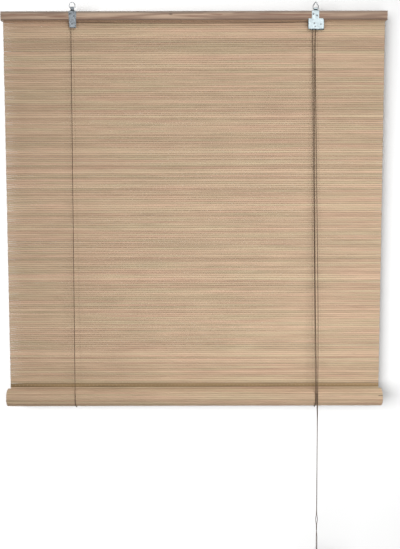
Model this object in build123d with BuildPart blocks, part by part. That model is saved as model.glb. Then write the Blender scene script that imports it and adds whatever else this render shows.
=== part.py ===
from build123d import *

import math
import os

# Bamboo roll up blind, half rolled, hanging from two wire rings.
#
# Millimetres. +X runs along the head rail, +Z is up and +Y points to the wall behind the blind.
# The origin is midway between the points where the two wire rings bear on their hooks.

# ---------------------------------------------------------------- driving dimensions

BLIND_WIDTH = 800.0          # head rail, mat and roll
RAIL_HEIGHT = 18.0
RAIL_DEPTH = 15.0
RAIL_EDGE = 1.0              # rounding of the rail's long edges
RAIL_TOP_Z = -16.0           # below the hooks

SHEET = 0.8                  # thickness of the folded steel plates
SLAT = 1.2                   # thickness of the bamboo mat
LAYER_PITCH = 1.5            # the mat plus the air between two turns
ROLL_RADIUS = 19.5
HANGING_DROP = 808.0         # rail top to the roll's axis
LIFT_TRAVEL = 680.0          # how far the roll can be pulled up
MAT_TOP_GAP = 1.5            # mat's top edge below the rail's top

CORD = 1.4                   # lift and pull cord diameter
CORD_GAP = 0.3               # cord to the mat, the roll and the pulley grooves
BODY_GAP = 0.3               # between solids that move past each other

HANGER_SPACING = 502.0       # left ring to right ring
RING_WIRE = 1.8
CURL_GAP = 0.1               # round the ring's wire inside the folded tab

WHEEL_RADIUS = 4.4
WHEEL_WIDTH = 3.0
WHEEL_SIDE_GAP = 0.3
WHEEL_BORE_GAP = 0.05
AXLE_RADIUS = 1.0
RIVET_HEAD_RADIUS = 1.9
RIVET_HEAD_HEIGHT = 0.7
PIN_HEAD_RADIUS = 1.5

SCREW_RADIUS = 1.0
SCREW_LENGTH = 12.0
SCREW_HEAD_RADIUS = 1.8
SCREW_HEAD_HEIGHT = 1.1
SCREW_SLOT = 0.5
SCREW_HOLE_GAP = 0.2
CORD_JOINT = 0.05            # between two lengths of one cord

TASSEL_DROP = 336.0          # roll's axis to the tassel's top
TASSEL_HEIGHT = 36.0
TASSEL_RADIUS = 7.5
TASSEL_HOLE_GAP = 0.5        # round the two strands
TASSEL_CAVITY_RADIUS = 4.2
TASSEL_CAVITY_DEPTH = 15.0
TASSEL_KNOT_RADIUS = 3.3

BATTEN_WIDTH = 14.0
BATTEN_THICKNESS = 7.0
BATTEN_GAP = 0.1

# ---------------------------------------------------------------- places that follow

CORD_R = CORD / 2
RING_R = RING_WIRE / 2
RING_TOP_Z = RING_R                       # centreline of the wire where it bears on the hook

PLATE_FRONT_Y = RING_R + CURL_GAP
PLATE_BACK_Y = PLATE_FRONT_Y + SHEET
RAIL_BACK_Y = PLATE_BACK_Y + RAIL_DEPTH
RAIL_BOTTOM_Z = RAIL_TOP_Z - RAIL_HEIGHT
MAT_BACK_Y = RAIL_BACK_Y + SLAT
MAT_TOP_Z = RAIL_TOP_Z - MAT_TOP_GAP

ROLL_Y = MAT_BACK_Y - ROLL_RADIUS
ROLL_Z = RAIL_TOP_Z - HANGING_DROP
TASSEL_TOP_Z = ROLL_Z - TASSEL_DROP
TASSEL_HOLE_RADIUS = CORD + TASSEL_HOLE_GAP
SLING_RADIUS = ROLL_RADIUS + CORD_GAP + CORD_R
CORD_REAR_Y = ROLL_Y + SLING_RADIUS
CORD_FRONT_Y = ROLL_Y - SLING_RADIUS

GROOVE_RADIUS = 2.2                       # bottom of a pulley's groove
CORD_TURN = GROOVE_RADIUS + CORD_GAP + CORD_R
WHEEL_Z = RAIL_BOTTOM_Z - WHEEL_RADIUS - 3.3
RAIL_RUN_Z = WHEEL_Z + CORD_TURN

FRONT_WHEEL_Y = PLATE_BACK_Y + WHEEL_SIDE_GAP + WHEEL_WIDTH / 2
REAR_WHEEL_Y = FRONT_WHEEL_Y + WHEEL_WIDTH + 0.7
LEFT_CHEEK_Y = FRONT_WHEEL_Y + WHEEL_WIDTH / 2 + WHEEL_SIDE_GAP
LOCK_CHEEK_Y = REAR_WHEEL_Y + WHEEL_WIDTH / 2 + WHEEL_SIDE_GAP

LEFT_X = -HANGER_SPACING / 2
RIGHT_X = HANGER_SPACING / 2
LEFT_WHEEL_X = LEFT_X - 0.6
LOCK_WHEEL_X = RIGHT_X - 1.9

LEFT_PLATE_BOTTOM_Z = WHEEL_Z - 7.2
LOCK_BODY_BOTTOM_Z = WHEEL_Z - 11.9
LOCK_BODY_TOP_Z = RAIL_BOTTOM_Z + 2.1
LOCK_BODY_LEFT = RIGHT_X - 15.0
LOCK_BODY_RIGHT = RIGHT_X + 18.0
CHEEK_TOP_Z = RAIL_BOTTOM_Z - 0.3

ANVIL_RADIUS = 1.2
ANVIL_X = LOCK_WHEEL_X + CORD_TURN - CORD_R - 0.1 - ANVIL_RADIUS
ANVIL_Z = WHEEL_Z - 6.6
CAM_X = RIGHT_X + 11.2
CAM_Z = WHEEL_Z - 2.1
CAM_HUB_RADIUS = 2.6
CAM_TOOTH = 0.5

PULL_START_X = LOCK_WHEEL_X + CORD_TURN
PULL_START_Z = LOCK_BODY_BOTTOM_Z - 1.5

# where each cord meets the roll
LEFT_SLING_X = LEFT_X - 2.0
RIGHT_SLING_X = RIGHT_X + 3.9
PULL_X = RIGHT_X + 7.4
STRAND_SPREAD = CORD / 1.4                # sideways steps between the two strands suit this cord
PULL_A_ROLL_X = PULL_X - 1.0 * STRAND_SPREAD
PULL_B_ROLL_X = PULL_X + 1.0 * STRAND_SPREAD

STAPLE_WIRE = 0.9
MAT_STAPLE_WIDTH = 10.0
MAT_STAPLE_LEG = 6.0
MAT_STAPLE_COUNT = 9
MAT_STAPLE_PITCH = 95.0
CORD_STAPLE_WIRE = 1.4
CORD_STAPLE_WIDTH = 7.0
CORD_STAPLE_LEG = 9.0
CORD_STAPLE_Z = RAIL_TOP_Z - 11.5
REAR_KNOT_RADIUS = 2.1

os.makedirs("parts", exist_ok=True)


# ---------------------------------------------------------------- helpers

def front_plane(y):
    """The upright plane facing the viewer at depth y: its own x is +X and its own y is +Z."""
    return Plane.XZ.offset(-y)


def side_plane(x):
    """The upright plane across the rail at x: its own x is +Y and its own y is +Z."""
    return Plane.YZ.offset(x)


def save(node, name):
    """Labels a finished sub-part and writes its STEP file."""
    node.part.label = name
    export_step(node.part, f"parts/{name}.step")
    print(f"{name:26s} {len(node.part.solids())} solid, {node.part.volume:12.2f} mm3")


def straight_cord(start, end):
    """A taut stretch of cord: one straight tube between two points."""
    with BuildPart() as run:
        with BuildLine() as route:
            Line(start, end)
        with BuildSketch(Plane(origin=route.line @ 0, z_dir=route.line % 0)):
            Circle(CORD_R)
        sweep(path=route.line)
    return run


def bent_cord(points):
    """A hanging strand through a hand-chosen route: straight runs joined by tangent arcs.

    Each arc's radius is 0.45 of the shorter run beside it over the tangent of half its turn.
    """
    corners = [Vector(*point) for point in points]
    radii = []
    for before, here, after in zip(corners, corners[1:], corners[2:]):
        turn = (here - before).get_angle(after - here)
        shorter = min((here - before).length, (after - here).length)
        radii.append(0.45 * shorter / math.tan(math.radians(turn / 2)))
    with BuildPart() as run:
        with BuildLine() as route:
            FilletPolyline(*points, radius=radii)
        with BuildSketch(Plane(origin=route.wires()[0] @ 0, z_dir=route.wires()[0] % 0)):
            Circle(CORD_R)
        sweep(path=route.wires()[0])
    length = route.wires()[0].length
    section = math.pi * CORD_R**2
    print(f"   route {length:8.1f} mm, smallest radius {min(radii):7.1f} mm,",
          f"volume over section x length {run.part.volume / (section * length):.4f}")
    return run


def wire_ring(x, points, radii):
    """A closed wire loop in the plane of the hooks: its centreline's corners and their radii."""
    corners = [(x + px, pz) for px, pz in points]
    with BuildPart() as ring:
        with BuildLine(front_plane(0)) as loop:
            FilletPolyline(*corners, radius=radii, close=True)
        with BuildSketch(Plane(origin=loop.wires()[0] @ 0, z_dir=loop.wires()[0] % 0)):
            Circle(RING_R)
        sweep(path=loop.wires()[0])
    return ring


def curl(x, base_z, end_z, half_width, foot_z):
    """The folded tab that holds a ring: it rises from foot_z, goes over the wire at base_z and
    comes down in front to end_z."""
    inner = RING_R + CURL_GAP
    outer = inner + SHEET
    with BuildSketch(side_plane(x - half_width)) as profile:
        with BuildLine():
            Line((outer, foot_z), (outer, base_z))
            CenterArc((0, base_z), outer, 0, 180)
            Line((-outer, base_z), (-outer, end_z))
            Line((-outer, end_z), (-inner, end_z))
            Line((-inner, end_z), (-inner, base_z))
            CenterArc((0, base_z), inner, 180, -180)
            Line((inner, base_z), (inner, foot_z))
            Line((inner, foot_z), (outer, foot_z))
        make_face()
    return extrude(profile.sketch, amount=2 * half_width, dir=(1, 0, 0))


def pulley(x, y):
    """A grooved wheel on an axle along Y."""
    bore = AXLE_RADIUS + WHEEL_BORE_GAP
    half = WHEEL_WIDTH / 2
    groove_half = CORD_R + CORD_GAP
    with BuildPart() as wheel:
        with BuildSketch(Plane(origin=(x, y, WHEEL_Z), x_dir=(1, 0, 0), z_dir=(0, 0, 1))):
            with BuildLine():
                Polyline(
                    (bore, -half),
                    (WHEEL_RADIUS, -half),
                    (WHEEL_RADIUS, -groove_half - 0.1),
                    (GROOVE_RADIUS + groove_half, -groove_half),
                )
                ThreePointArc(
                    (GROOVE_RADIUS + groove_half, -groove_half),
                    (GROOVE_RADIUS, 0),
                    (GROOVE_RADIUS + groove_half, groove_half),
                )
                Polyline(
                    (GROOVE_RADIUS + groove_half, groove_half),
                    (WHEEL_RADIUS, groove_half + 0.1),
                    (WHEEL_RADIUS, half),
                    (bore, half),
                    (bore, -half),
                )
            make_face()
        revolve(axis=Axis((x, y, WHEEL_Z), (0, 1, 0)))
    return wheel


def rivet(x, z, radius, head_radius, back_y):
    """A pin through a housing: a low domed head on the plate and a peened head behind the cheek."""
    front = PLATE_FRONT_Y - RIVET_HEAD_HEIGHT
    tail = back_y + 0.5
    with BuildPart() as pin:
        with BuildSketch(front_plane(front)):
            with Locations((x, z)):
                Circle(head_radius)
        extrude(amount=-RIVET_HEAD_HEIGHT)
        fillet(pin.edges().sort_by(Axis.Y)[0], RIVET_HEAD_HEIGHT * 0.6)
        with BuildSketch(front_plane(PLATE_FRONT_Y)):
            with Locations((x, z)):
                Circle(radius)
        extrude(amount=-(back_y - PLATE_FRONT_Y))
        with BuildSketch(front_plane(back_y)):
            with Locations((x, z)):
                Circle(head_radius * 0.85)
        extrude(amount=-(tail - back_y))
        fillet(pin.edges().sort_by(Axis.Y)[-1], 0.3)
    return pin


def round_head_screws(places):
    """Small round-head screws through a plate into the front of the rail, as one group."""
    front = PLATE_FRONT_Y - SCREW_HEAD_HEIGHT
    with BuildPart() as screws:
        for x, z in places:
            with BuildSketch(front_plane(PLATE_FRONT_Y)):
                with Locations((x, z)):
                    Circle(SCREW_HEAD_RADIUS)
            extrude(amount=SCREW_HEAD_HEIGHT)
        fillet(screws.faces().sort_by(Axis.Y)[0:len(places)].edges(), SCREW_HEAD_HEIGHT * 0.7)
        for x, z in places:
            with BuildSketch(front_plane(front)):
                with Locations((x, z)):
                    Rectangle(2 * SCREW_HEAD_RADIUS + 1, SCREW_SLOT, rotation=35)
            extrude(amount=-SCREW_SLOT, mode=Mode.SUBTRACT)
            with BuildSketch(front_plane(PLATE_FRONT_Y)):
                with Locations((x, z)):
                    Circle(SCREW_RADIUS)
            extrude(amount=-SCREW_LENGTH, taper=3)
    return screws


def staples(places, wire, width, leg):
    """U-shaped wire staples driven into the back of the rail from y: (x, z, crown inner y)."""
    with BuildPart() as group:
        for x, z, inner_y in places:
            with BuildSketch(Plane.XY.offset(z - wire / 2)):
                with Locations((x, inner_y + wire / 2)):
                    Rectangle(width + wire, wire)
                with Locations((x - width / 2, inner_y - leg / 2), (x + width / 2, inner_y - leg / 2)):
                    Rectangle(wire, leg)
            extrude(amount=wire)
    return group


# ---------------------------------------------------------------- head rail

LEFT_SCREWS = [(LEFT_X - 4.8, RAIL_TOP_Z - 6.0), (LEFT_X + 3.2, RAIL_TOP_Z - 10.4)]
LOCK_SCREWS = [(RIGHT_X - 4.3, RAIL_TOP_Z - 7.2), (RIGHT_X + 3.2, RAIL_TOP_Z - 10.1)]

with BuildPart() as head_rail:
    with BuildSketch(side_plane(-BLIND_WIDTH / 2)):
        with Locations(((PLATE_BACK_Y + RAIL_BACK_Y) / 2, (RAIL_TOP_Z + RAIL_BOTTOM_Z) / 2)):
            RectangleRounded(RAIL_DEPTH, RAIL_HEIGHT, RAIL_EDGE)
    extrude(amount=BLIND_WIDTH)
    with BuildSketch(front_plane(PLATE_BACK_Y)):
        with Locations(*LEFT_SCREWS, *LOCK_SCREWS):
            Circle(SCREW_RADIUS * 0.6)
    extrude(amount=-SCREW_LENGTH, mode=Mode.SUBTRACT)
save(head_rail, "head_rail")


# ---------------------------------------------------------------- woven mat: hanging part and roll

CORD_STAPLE_LEGS = [
    (x + side * CORD_STAPLE_WIDTH / 2, CORD_STAPLE_Z)
    for x in (LEFT_SLING_X, RIGHT_SLING_X)
    for side in (-1, 1)
]

with BuildPart() as hanging_panel:
    with BuildSketch(front_plane(MAT_BACK_Y)):
        with Locations((0, (MAT_TOP_Z + ROLL_Z + BODY_GAP) / 2)):
            Rectangle(BLIND_WIDTH, MAT_TOP_Z - ROLL_Z - BODY_GAP)
    extrude(amount=SLAT)
    with BuildSketch(front_plane(MAT_BACK_Y)):
        with Locations(*CORD_STAPLE_LEGS):
            Circle(CORD_STAPLE_WIRE)
    extrude(amount=SLAT, mode=Mode.SUBTRACT)
save(hanging_panel, "hanging_panel")

# The outer turn is four quarter arcs, each a quarter of the layer pitch smaller than the one before,
# with its centre moved so that the arcs stay tangent. It starts under the hanging mat at the back.
STEP = LAYER_PITCH / 4

with BuildPart() as mat_roll:
    with BuildSketch(side_plane(-BLIND_WIDTH / 2)):
        with BuildLine():
            CenterArc((ROLL_Y, ROLL_Z), ROLL_RADIUS, 0, -90)
            CenterArc((ROLL_Y, ROLL_Z - STEP), ROLL_RADIUS - STEP, -90, -90)
            CenterArc((ROLL_Y - STEP, ROLL_Z - STEP), ROLL_RADIUS - 2 * STEP, 180, -90)
            CenterArc((ROLL_Y - STEP, ROLL_Z), ROLL_RADIUS - 3 * STEP, 90, -90)
            Line((ROLL_Y + ROLL_RADIUS - 4 * STEP, ROLL_Z), (ROLL_Y + ROLL_RADIUS, ROLL_Z))
        make_face()
        with Locations(Location((ROLL_Y, ROLL_Z), 20)):
            RectangleRounded(
                BATTEN_WIDTH + 2 * BATTEN_GAP, BATTEN_THICKNESS + 2 * BATTEN_GAP, 1.2,
                mode=Mode.SUBTRACT,
            )
    extrude(amount=BLIND_WIDTH)
save(mat_roll, "mat_roll")

with BuildPart() as bottom_batten:
    with BuildSketch(side_plane(-BLIND_WIDTH / 2)):
        with Locations(Location((ROLL_Y, ROLL_Z), 20)):
            RectangleRounded(BATTEN_WIDTH, BATTEN_THICKNESS, 1.1)
    extrude(amount=BLIND_WIDTH)
save(bottom_batten, "bottom_batten")


# ---------------------------------------------------------------- rings

RIGHT_RING_BASE_Z = -12.2
LEFT_RING_BASE_Z = -9.4
RING_HALF_BASE = 5.7
CURL_HALF_WIDTH = 3.7

right_ring = wire_ring(
    RIGHT_X,
    [(RING_HALF_BASE, RIGHT_RING_BASE_Z), (RING_HALF_BASE, RIGHT_RING_BASE_Z + 4.6),
     (0, RING_TOP_Z + 1.0), (-RING_HALF_BASE, RIGHT_RING_BASE_Z + 4.6),
     (-RING_HALF_BASE, RIGHT_RING_BASE_Z)],
    [1.6, 3.0, 1.7, 3.0, 1.6],
)
save(right_ring, "right_ring")

left_ring = wire_ring(
    LEFT_X,
    [(RING_HALF_BASE - 0.2, LEFT_RING_BASE_Z), (RING_HALF_BASE + 0.4, LEFT_RING_BASE_Z + 5.0),
     (3.2, RING_TOP_Z), (-3.2, RING_TOP_Z), (-RING_HALF_BASE - 0.4, LEFT_RING_BASE_Z + 5.0),
     (-RING_HALF_BASE + 0.2, LEFT_RING_BASE_Z)],
    [1.5, 3.0, 2.4, 2.4, 3.0, 1.5],
)
save(left_ring, "left_ring")


# ---------------------------------------------------------------- left hanger and its pulley

LEFT_TOP_HALF = 8.2
LEFT_BOTTOM_HALF = 6.7
LEFT_TAB = curl(LEFT_X, LEFT_RING_BASE_Z, LEFT_RING_BASE_Z - 3.2, CURL_HALF_WIDTH, RAIL_TOP_Z)

with BuildPart() as left_hanger:
    with BuildSketch(front_plane(PLATE_BACK_Y)):
        with BuildLine():
            Polyline(
                (LEFT_X - CURL_HALF_WIDTH, RAIL_TOP_Z + 1.5),
                (LEFT_X + CURL_HALF_WIDTH, RAIL_TOP_Z + 1.5),
                (LEFT_X + LEFT_TOP_HALF - 1.5, RAIL_TOP_Z + 0.5),
                (LEFT_X + LEFT_TOP_HALF, RAIL_TOP_Z - 1.0),
                (LEFT_X + LEFT_BOTTOM_HALF, LEFT_PLATE_BOTTOM_Z),
                (LEFT_X - LEFT_BOTTOM_HALF, LEFT_PLATE_BOTTOM_Z),
                (LEFT_X - LEFT_TOP_HALF, RAIL_TOP_Z - 1.0),
                (LEFT_X - LEFT_TOP_HALF + 1.5, RAIL_TOP_Z + 0.5),
                close=True,
            )
        make_face()
    extrude(amount=SHEET)
    with BuildSketch(Plane.XY.offset(LEFT_PLATE_BOTTOM_Z)):
        with BuildLine():
            Polyline(
                (LEFT_X - LEFT_BOTTOM_HALF, PLATE_BACK_Y - SHEET / 2),
                (LEFT_X - LEFT_BOTTOM_HALF, LEFT_CHEEK_Y + SHEET),
                (LEFT_X + LEFT_BOTTOM_HALF, LEFT_CHEEK_Y + SHEET),
                (LEFT_X + LEFT_BOTTOM_HALF, LEFT_CHEEK_Y),
                (LEFT_X - LEFT_BOTTOM_HALF + SHEET, LEFT_CHEEK_Y),
                (LEFT_X - LEFT_BOTTOM_HALF + SHEET, PLATE_BACK_Y - SHEET / 2),
                close=True,
            )
        make_face()
    extrude(amount=CHEEK_TOP_Z - LEFT_PLATE_BOTTOM_Z)
    add(LEFT_TAB)
    with BuildSketch(front_plane(PLATE_FRONT_Y - 1)):
        with Locations(*LEFT_SCREWS):
            Circle(SCREW_RADIUS + SCREW_HOLE_GAP)
        with Locations((LEFT_WHEEL_X, WHEEL_Z)):
            Circle(AXLE_RADIUS)
    extrude(amount=-(LEFT_CHEEK_Y + SHEET + 2), mode=Mode.SUBTRACT)
save(left_hanger, "left_hanger")

save(round_head_screws(LEFT_SCREWS), "left_hanger_screws")
save(rivet(LEFT_WHEEL_X, WHEEL_Z, AXLE_RADIUS, RIVET_HEAD_RADIUS, LEFT_CHEEK_Y + SHEET),
     "left_pulley_axle")
save(pulley(LEFT_WHEEL_X, FRONT_WHEEL_Y), "left_pulley")


# ---------------------------------------------------------------- cord lock

NECK_HALF = 7.5
LOCK_CHAMFER = 3.2
LOCK_TAB = curl(RIGHT_X, RIGHT_RING_BASE_Z, RIGHT_RING_BASE_Z - 3.0, CURL_HALF_WIDTH, RAIL_TOP_Z)

with BuildPart() as lock_housing:
    with BuildSketch(front_plane(PLATE_BACK_Y)):
        with BuildLine():
            Polyline(
                (RIGHT_X - CURL_HALF_WIDTH, RAIL_TOP_Z + 1.5),
                (RIGHT_X + CURL_HALF_WIDTH, RAIL_TOP_Z + 1.5),
                (RIGHT_X + NECK_HALF - 1.0, RAIL_TOP_Z + 1.0),
                (RIGHT_X + NECK_HALF, RAIL_TOP_Z),
                (RIGHT_X + NECK_HALF, LOCK_BODY_TOP_Z),
                (LOCK_BODY_RIGHT - LOCK_CHAMFER, LOCK_BODY_TOP_Z),
                (LOCK_BODY_RIGHT, LOCK_BODY_TOP_Z - LOCK_CHAMFER),
                (LOCK_BODY_RIGHT, LOCK_BODY_BOTTOM_Z),
                (LOCK_BODY_LEFT, LOCK_BODY_BOTTOM_Z),
                (LOCK_BODY_LEFT, LOCK_BODY_TOP_Z),
                (RIGHT_X - NECK_HALF, LOCK_BODY_TOP_Z),
                (RIGHT_X - NECK_HALF, RAIL_TOP_Z),
                (RIGHT_X - NECK_HALF + 1.0, RAIL_TOP_Z + 1.0),
                close=True,
            )
        make_face()
    extrude(amount=SHEET)
    with BuildSketch(Plane.XY.offset(LOCK_BODY_BOTTOM_Z)):
        with BuildLine():
            Polyline(
                (LOCK_BODY_RIGHT, PLATE_BACK_Y - SHEET / 2),
                (LOCK_BODY_RIGHT, LOCK_CHEEK_Y + SHEET),
                (LOCK_BODY_LEFT + 6, LOCK_CHEEK_Y + SHEET),
                (LOCK_BODY_LEFT + 6, LOCK_CHEEK_Y),
                (LOCK_BODY_RIGHT - SHEET, LOCK_CHEEK_Y),
                (LOCK_BODY_RIGHT - SHEET, PLATE_BACK_Y - SHEET / 2),
                close=True,
            )
        make_face()
    extrude(amount=CHEEK_TOP_Z - 1.0 - LOCK_BODY_BOTTOM_Z)
    add(LOCK_TAB)
    with BuildSketch(front_plane(PLATE_FRONT_Y - 1)):
        with Locations(*LOCK_SCREWS):
            Circle(SCREW_RADIUS + SCREW_HOLE_GAP)
        with Locations((LOCK_WHEEL_X, WHEEL_Z), (CAM_X, CAM_Z)):
            Circle(AXLE_RADIUS)
        with Locations((ANVIL_X, ANVIL_Z)):
            Circle(ANVIL_RADIUS)
    extrude(amount=-(LOCK_CHEEK_Y + SHEET + 2), mode=Mode.SUBTRACT)
save(lock_housing, "lock_housing")

LOCK_TAIL_Y = LOCK_CHEEK_Y + SHEET
save(round_head_screws(LOCK_SCREWS), "lock_housing_screws")
save(rivet(LOCK_WHEEL_X, WHEEL_Z, AXLE_RADIUS, RIVET_HEAD_RADIUS, LOCK_TAIL_Y), "lock_pulley_axle")
save(rivet(CAM_X, CAM_Z, AXLE_RADIUS, PIN_HEAD_RADIUS, LOCK_TAIL_Y), "lock_cam_pin")
save(rivet(ANVIL_X, ANVIL_Z, ANVIL_RADIUS, PIN_HEAD_RADIUS + 0.2, LOCK_TAIL_Y), "lock_anvil_pin")
save(pulley(LOCK_WHEEL_X, FRONT_WHEEL_Y), "lock_pulley_front")
save(pulley(LOCK_WHEEL_X, REAR_WHEEL_Y), "lock_pulley_rear")

# The cam's toothed face looks left at the cords. Its lowest tooth reaches furthest, so a cord that
# is drawn up turns it towards the anvil.
CAM_FRONT_Y = FRONT_WHEEL_Y - WHEEL_WIDTH / 2
CAM_WIDTH = REAR_WHEEL_Y - FRONT_WHEEL_Y + WHEEL_WIDTH
CAM_REACH = CAM_X - (PULL_START_X + CORD_R + 0.2)
CAM_TEETH = 5
cam_outline = []
for tooth in range(CAM_TEETH):
    drop = 1.0 + tooth * 0.9
    back = 0.7 - tooth * 0.175
    cam_outline.append((CAM_X - CAM_REACH + back + CAM_TOOTH, CAM_Z - drop + 0.45))
    cam_outline.append((CAM_X - CAM_REACH + back, CAM_Z - drop))

with BuildPart() as lock_cam:
    with BuildSketch(front_plane(CAM_FRONT_Y)):
        with BuildLine():
            Polyline(
                (CAM_X - 0.6, CAM_Z + CAM_HUB_RADIUS - 0.2),
                *cam_outline,
                (CAM_X - CAM_REACH + 1.6, CAM_Z - 5.9),
                (CAM_X + 0.4, CAM_Z - CAM_HUB_RADIUS + 0.2),
                close=True,
            )
        make_face()
        with Locations((CAM_X, CAM_Z)):
            Circle(CAM_HUB_RADIUS)
            Circle(AXLE_RADIUS + WHEEL_BORE_GAP, mode=Mode.SUBTRACT)
    extrude(amount=-CAM_WIDTH)
save(lock_cam, "lock_cam")


# ---------------------------------------------------------------- staples at the back of the rail

mat_staple_places = [
    ((i - (MAT_STAPLE_COUNT - 1) / 2) * MAT_STAPLE_PITCH, RAIL_TOP_Z - 8.0, MAT_BACK_Y)
    for i in range(MAT_STAPLE_COUNT)
]
save(staples(mat_staple_places, STAPLE_WIRE, MAT_STAPLE_WIDTH, MAT_STAPLE_LEG), "mat_staples")

CROWN_Y = CORD_REAR_Y + CORD_R + CORD_GAP
cord_staple_places = [(x, CORD_STAPLE_Z, CROWN_Y) for x in (LEFT_SLING_X, RIGHT_SLING_X)]
save(staples(cord_staple_places, CORD_STAPLE_WIRE, CORD_STAPLE_WIDTH, CORD_STAPLE_LEG),
     "cord_staples")

REAR_KNOT_Z = CORD_STAPLE_Z + CORD_STAPLE_WIRE / 2 + REAR_KNOT_RADIUS
with BuildPart() as rear_knots:
    for x in (LEFT_SLING_X, RIGHT_SLING_X):
        with Locations((x, MAT_BACK_Y + REAR_KNOT_RADIUS, REAR_KNOT_Z)):
            Sphere(REAR_KNOT_RADIUS)
save(rear_knots, "rear_knots")


# ---------------------------------------------------------------- lift cords

def rear_run(x):
    """From the knot above the staple straight down behind the mat to the roll's axis."""
    return straight_cord((x, CORD_REAR_Y, REAR_KNOT_Z), (x, CORD_REAR_Y, ROLL_Z + BODY_GAP))


def sling(x):
    """Half a turn of cord under the roll."""
    with BuildPart() as half_turn:
        with BuildLine(side_plane(x)) as route:
            CenterArc((ROLL_Y, ROLL_Z), SLING_RADIUS, 0, -180)
        with BuildSketch(Plane(origin=route.line @ 0, z_dir=route.line % 0)):
            Circle(CORD_R)
        sweep(path=route.line)
    return half_turn


def front_run(top_x, wheel_y, bottom_x):
    """From the roll's front up to the left side of a pulley."""
    return straight_cord((top_x, wheel_y, WHEEL_Z - CORD_JOINT),
                         (bottom_x, CORD_FRONT_Y, ROLL_Z + BODY_GAP))


save(rear_run(LEFT_SLING_X), "left_cord_rear_run")
save(rear_run(RIGHT_SLING_X), "right_cord_rear_run")
save(sling(LEFT_SLING_X), "left_cord_sling")
save(sling(RIGHT_SLING_X), "right_cord_sling")
save(front_run(LEFT_WHEEL_X - CORD_TURN, FRONT_WHEEL_Y, LEFT_SLING_X), "left_cord_front_run")
save(front_run(LOCK_WHEEL_X - CORD_TURN, REAR_WHEEL_Y, RIGHT_SLING_X), "right_cord_front_run")

# over the left pulley, along the rail, over the lock's front pulley and down past the cam
with BuildPart() as left_cord_rail_run:
    with BuildLine(front_plane(FRONT_WHEEL_Y)) as rail_route:
        CenterArc((LEFT_WHEEL_X, WHEEL_Z), CORD_TURN, 180, -90)
        Line((LEFT_WHEEL_X, RAIL_RUN_Z), (LOCK_WHEEL_X, RAIL_RUN_Z))
        CenterArc((LOCK_WHEEL_X, WHEEL_Z), CORD_TURN, 90, -90)
        Line((PULL_START_X, WHEEL_Z), (PULL_START_X, PULL_START_Z))
    with BuildSketch(Plane.XY.offset(WHEEL_Z)):
        with Locations((LEFT_WHEEL_X - CORD_TURN, FRONT_WHEEL_Y)):
            Circle(CORD_R)
    sweep(path=rail_route.wires()[0])
save(left_cord_rail_run, "left_cord_rail_run")

# over the lock's rear pulley and down past the cam
with BuildPart() as right_cord_lock_run:
    with BuildLine(front_plane(REAR_WHEEL_Y)) as lock_route:
        CenterArc((LOCK_WHEEL_X, WHEEL_Z), CORD_TURN, 180, -180)
        Line((PULL_START_X, WHEEL_Z), (PULL_START_X, PULL_START_Z))
    with BuildSketch(Plane.XY.offset(WHEEL_Z)):
        with Locations((LOCK_WHEEL_X - CORD_TURN, REAR_WHEEL_Y)):
            Circle(CORD_R)
    sweep(path=lock_route.wires()[0])
save(right_cord_lock_run, "right_cord_lock_run")


# ---------------------------------------------------------------- pull cords and tassel

save(straight_cord((PULL_START_X, FRONT_WHEEL_Y, PULL_START_Z - CORD_JOINT),
                   (PULL_A_ROLL_X, CORD_FRONT_Y, ROLL_Z + BODY_GAP)), "pull_cord_a_upper")
save(straight_cord((PULL_START_X, REAR_WHEEL_Y, PULL_START_Z - CORD_JOINT),
                   (PULL_B_ROLL_X, CORD_FRONT_Y, ROLL_Z + BODY_GAP)), "pull_cord_b_upper")

# The free ends hang straight under the tassel's weight. They part once, just above the tassel.
# Each point is counted from where the pair of cords touches the front of the roll.
TASSEL_X = PULL_X + 1.6 * STRAND_SPREAD
TASSEL_Y = CORD_FRONT_Y
CAVITY_TOP_Z = TASSEL_TOP_Z - (TASSEL_HEIGHT - TASSEL_CAVITY_DEPTH)
PULL_A_ROUTE = [
    (-1.0, 0.0, 0.0),
    (-0.1, -0.7, -28.0),
    (0.6, -0.9, -60.0),
    (0.7, -0.9, -216.0),
    (0.0, -0.7, -242.0),
    (-2.6, -0.2, -261.5),
    (0.1, -0.1, -276.0),
    (0.5, -0.7, -282.0),
    (1.2, -0.9, -288.5),
    (1.9, -0.7, -295.0),
    (2.3, -0.1, -302.0),
    (2.4, 0.0, -321.0),
    (2.4, 0.0, -357.0),
]
PULL_B_ROUTE = [
    (1.0, 0.0, 0.0),
    (1.2, 0.6, -28.0),
    (0.9, 0.8, -60.0),
    (1.3, 0.7, -216.0),
    (1.8, 0.6, -242.0),
    (4.4, 0.1, -261.5),
    (1.9, 0.1, -276.0),
    (1.7, 0.6, -282.0),
    (1.2, 0.9, -288.5),
    (0.7, 0.6, -295.0),
    (0.5, 0.1, -302.0),
    (0.8, 0.0, -321.0),
    (0.8, 0.0, -357.0),
]


def pull_cord(route):
    """A free strand whose points are counted from where the cords touch the roll."""
    side = STRAND_SPREAD
    return bent_cord([(PULL_X + side * x, CORD_FRONT_Y + side * y, ROLL_Z + z) for x, y, z in route])


save(pull_cord(PULL_A_ROUTE), "pull_cord_a_lower")
save(pull_cord(PULL_B_ROUTE), "pull_cord_b_lower")

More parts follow.
